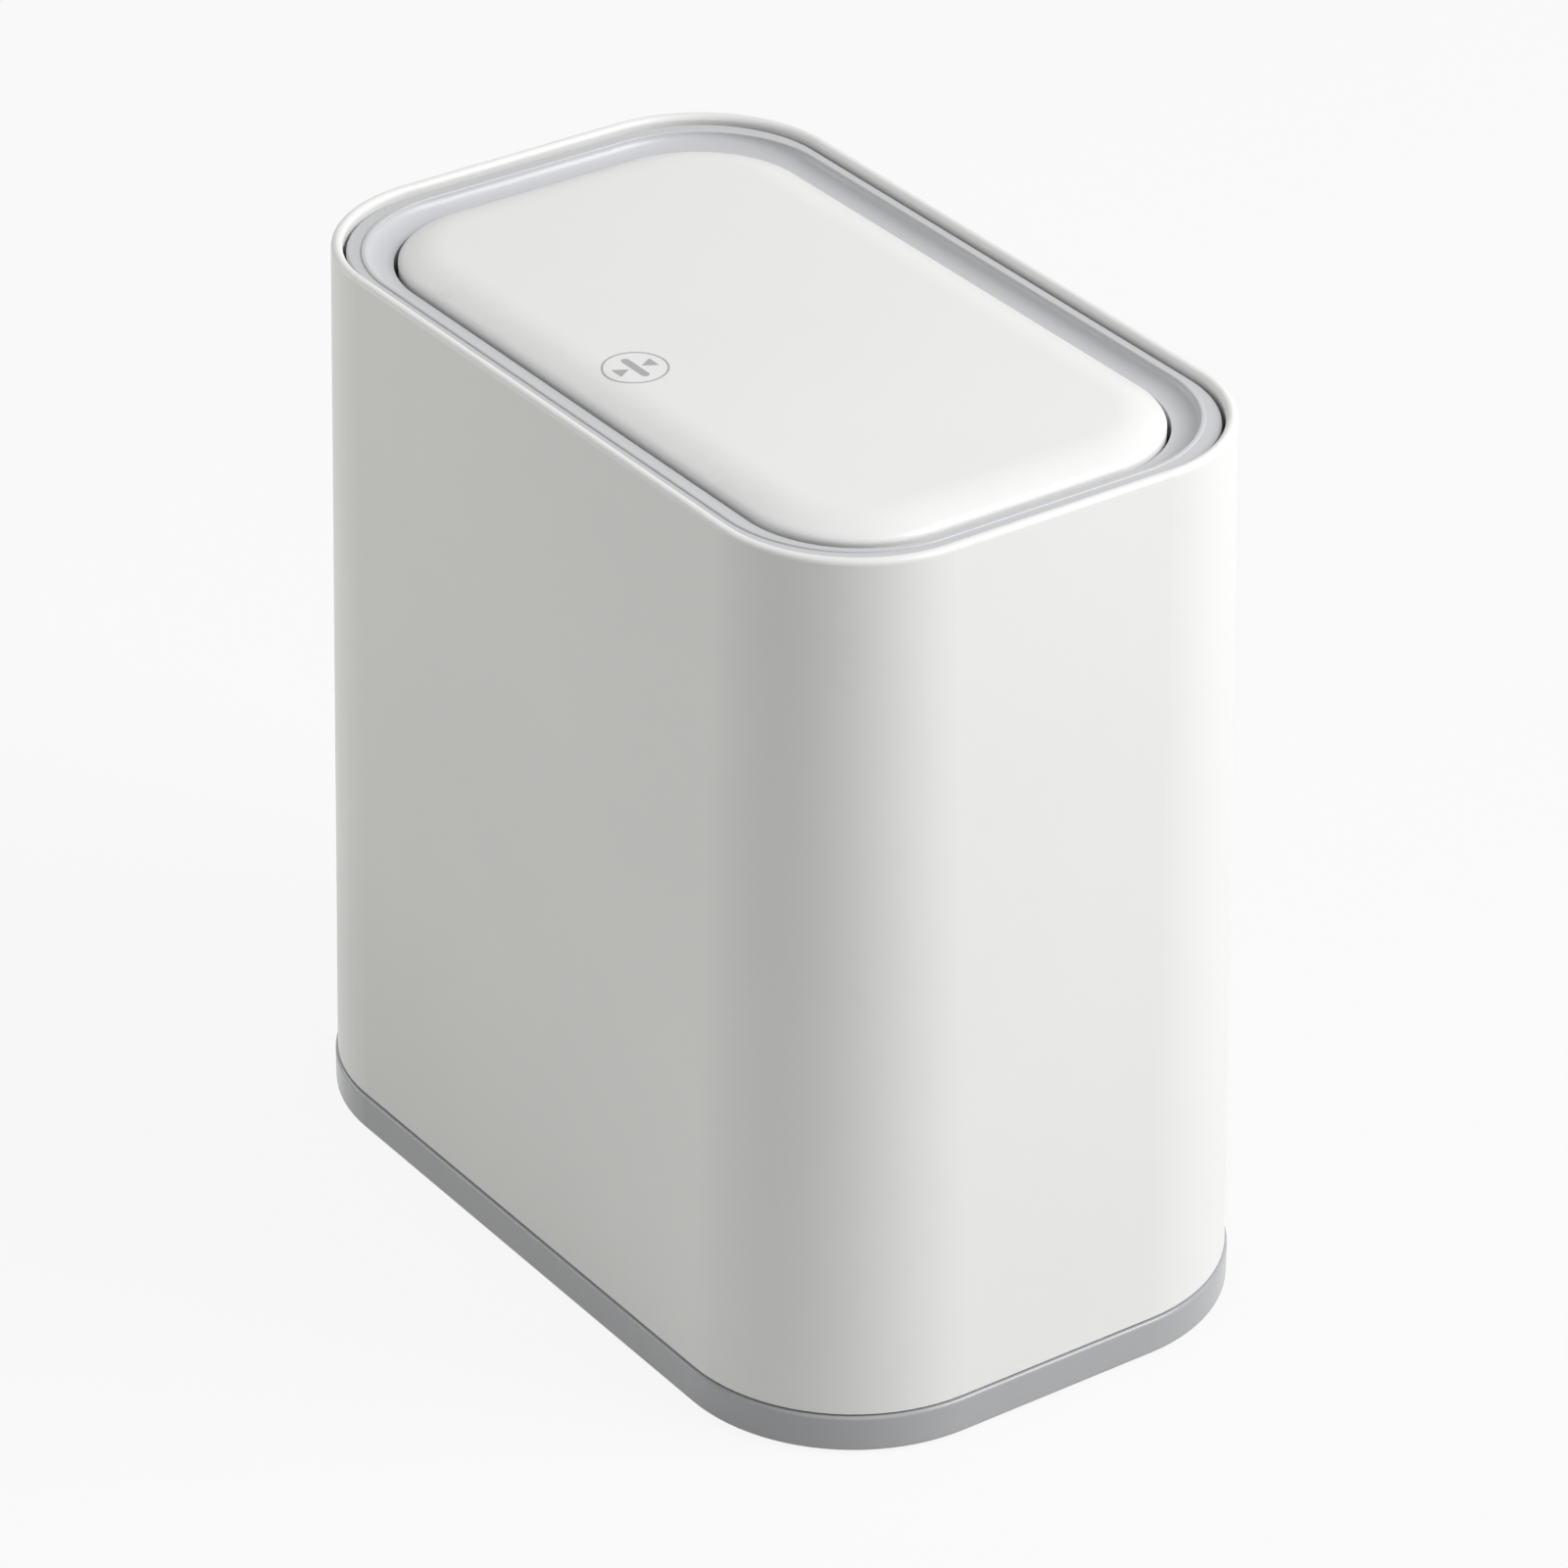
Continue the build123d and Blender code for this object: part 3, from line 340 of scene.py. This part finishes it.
def latch_spring_coil():
    """The compression spring under the collet: a wire's section wound up by a screw."""
    low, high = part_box("latch_spring")
    middle = (low + high) / 2
    radius = (high.x - low.x - COIL_WIRE) / 2
    rise = high.z - low.z - COIL_WIRE
    bpy.ops.object.select_all(action="DESELECT")
    bpy.ops.mesh.primitive_circle_add(
        vertices=WIRE_POINTS, radius=COIL_WIRE / 2, rotation=(math.radians(90), 0, 0),
        location=(middle.x + radius, middle.y, low.z + COIL_WIRE / 2))
    coil = bpy.context.active_object
    coil.name = "latch_spring_coil"
    coil.data.name = "latch_spring_coil"
    bpy.ops.object.transform_apply(location=False, rotation=True, scale=True)
    bpy.context.scene.cursor.location = (middle.x, middle.y, low.z)
    bpy.ops.object.origin_set(type="ORIGIN_CURSOR")
    wind = coil.modifiers.new("wind", "SCREW")
    wind.axis = "Z"
    wind.angle = math.radians(360)
    wind.iterations = COIL_TURNS
    wind.screw_offset = rise / COIL_TURNS
    wind.steps = wind.render_steps = STEPS_A_TURN
    bpy.ops.object.modifier_apply(modifier="wind")
    bpy.ops.object.transform_apply(location=True, rotation=True, scale=True)
    bpy.ops.object.mode_set(mode="EDIT")
    bpy.ops.mesh.select_all(action="DESELECT")
    bpy.ops.mesh.select_non_manifold()
    bpy.ops.mesh.edge_face_add()
    bpy.ops.mesh.select_all(action="SELECT")
    bpy.ops.mesh.normals_make_consistent(inside=False)
    bpy.ops.object.mode_set(mode="OBJECT")
    bpy.ops.object.shade_smooth_by_angle(angle=SHARP_FROM)
    coil.data.materials.append(spring_wire)
    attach(coil, "lid")
    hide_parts("latch_spring")
    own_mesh(coil)


latch_spring_coil()


# ---- Floor and backdrop ---------------------------------------------------------------------
FLOOR_SIZE = 8.0
FLOOR_DROP = 0.2 * MM
PAPER_GLOW = 0.90
BACKDROP_LIGHT = 0.38
BACKDROP_SEEN = 1.0


def seen_rays(tree):
    """1 where the eye sees it, straight, mirrored or through glass, and 0 where it only lights."""
    rays = add(tree, "ShaderNodeLightPath")
    shown = add(tree, "ShaderNodeMath", {"operation": "MAXIMUM"},
                {0: rays.outputs["Is Camera Ray"], 1: rays.outputs["Is Glossy Ray"]})
    seen = add(tree, "ShaderNodeMath", {"operation": "MAXIMUM"},
               {0: shown.outputs[0], 1: rays.outputs["Is Transmission Ray"]})
    return seen.outputs[0]


def white_floor():
    """A matt sheet of paper that reads as plain white and still takes a soft shadow."""
    made, tree = material("white_paper_floor")
    paper = add(tree, "ShaderNodeBsdfDiffuse", {"Color": linear("#C9C9C8")})
    glow = add(tree, "ShaderNodeEmission", {"Color": (1, 1, 1, 1), "Strength": 1.0})
    share = add(tree, "ShaderNodeMath", {"operation": "MULTIPLY", 1: PAPER_GLOW},
                {0: seen_rays(tree)})
    mixed = add(tree, "ShaderNodeMixShader", None,
                {0: share.outputs[0], 1: paper.outputs[0], 2: glow.outputs[0]})
    add(tree, "ShaderNodeOutputMaterial", links={"Surface": mixed.outputs[0]})
    return made


bpy.ops.object.select_all(action="DESELECT")
bpy.ops.mesh.primitive_plane_add(size=FLOOR_SIZE, location=(0, 0, -FLOOR_DROP))
floor = bpy.context.active_object
floor.name = "floor"
bpy.ops.object.transform_apply(location=True, rotation=True, scale=True)
floor.data.materials.append(white_floor())

world = bpy.data.worlds.new("studio")
bpy.context.scene.world = world
world.use_nodes = True
sky = world.node_tree
sky.nodes.clear()
strength = add(sky, "ShaderNodeMapRange",
               {"To Min": BACKDROP_LIGHT, "To Max": BACKDROP_SEEN}, {"Value": seen_rays(sky)})
backdrop = add(sky, "ShaderNodeBackground", {"Color": (1, 1, 1, 1)},
               {"Strength": strength.outputs[0]})
add(sky, "ShaderNodeOutputWorld", links={"Surface": backdrop.outputs[0]})


# ---- Lamps ----------------------------------------------------------------------------------
BIN_MIDDLE = Vector((0, 0, 0.12))


def softbox(name, place, size, watts, tint=(1.0, 1.0, 1.0)):
    """A square area lamp that faces the middle of the bin."""
    lamp = bpy.data.lights.new(name, "AREA")
    lamp.shape = "SQUARE"
    lamp.size = size
    lamp.energy = watts
    lamp.color = tint
    holder = bpy.data.objects.new(name, lamp)
    bpy.context.scene.collection.objects.link(holder)
    holder.location = place
    holder.rotation_mode = "QUATERNION"
    holder.rotation_quaternion = (BIN_MIDDLE - Vector(place)).to_track_quat("-Z", "Y")


softbox("key_softbox", place=(1.3, 1.05, 1.62), size=1.2, watts=43.8)
softbox("fill_softbox", place=(-1.3, -0.9, 0.25), size=1.0, watts=7.8, tint=(1.0, 0.995, 0.93))


# ---- Camera ---------------------------------------------------------------------------------
# It stands off the front right corner, about 30 degrees above the floor, with a long lens.
LENS = 164.760
AZIMUTH, ELEVATION, ROLL = (math.radians(a) for a in (54.8109, 30.2647, -0.2195))
RIM_LENGTH = 236.0 * MM
RIMS_RIGHT, RIMS_UP, RIMS_BACK = 0.0135, 0.4261, 7.9555

camera_data = bpy.data.cameras.new("camera")
camera_data.sensor_width = 36.0
camera_data.lens = LENS
camera_data.clip_start = 0.1
camera_data.clip_end = 30.0
camera = bpy.data.objects.new("camera", camera_data)
bpy.context.scene.collection.objects.link(camera)
back = Vector((math.sin(AZIMUTH) * math.cos(ELEVATION),
               -math.cos(AZIMUTH) * math.cos(ELEVATION), math.sin(ELEVATION)))
level_right = Vector((math.cos(AZIMUTH), math.sin(AZIMUTH), 0.0))
level_up = back.cross(level_right)
right = level_right * math.cos(ROLL) - level_up * math.sin(ROLL)
up = level_right * math.sin(ROLL) + level_up * math.cos(ROLL)
place = (right * RIMS_RIGHT + up * RIMS_UP + back * RIMS_BACK) * RIM_LENGTH
turn = Matrix((right, up, back)).transposed()
camera.matrix_world = Matrix.Translation(place) @ turn.to_4x4()
bpy.context.scene.camera = camera

bpy.context.scene.view_settings.view_transform = "Standard"
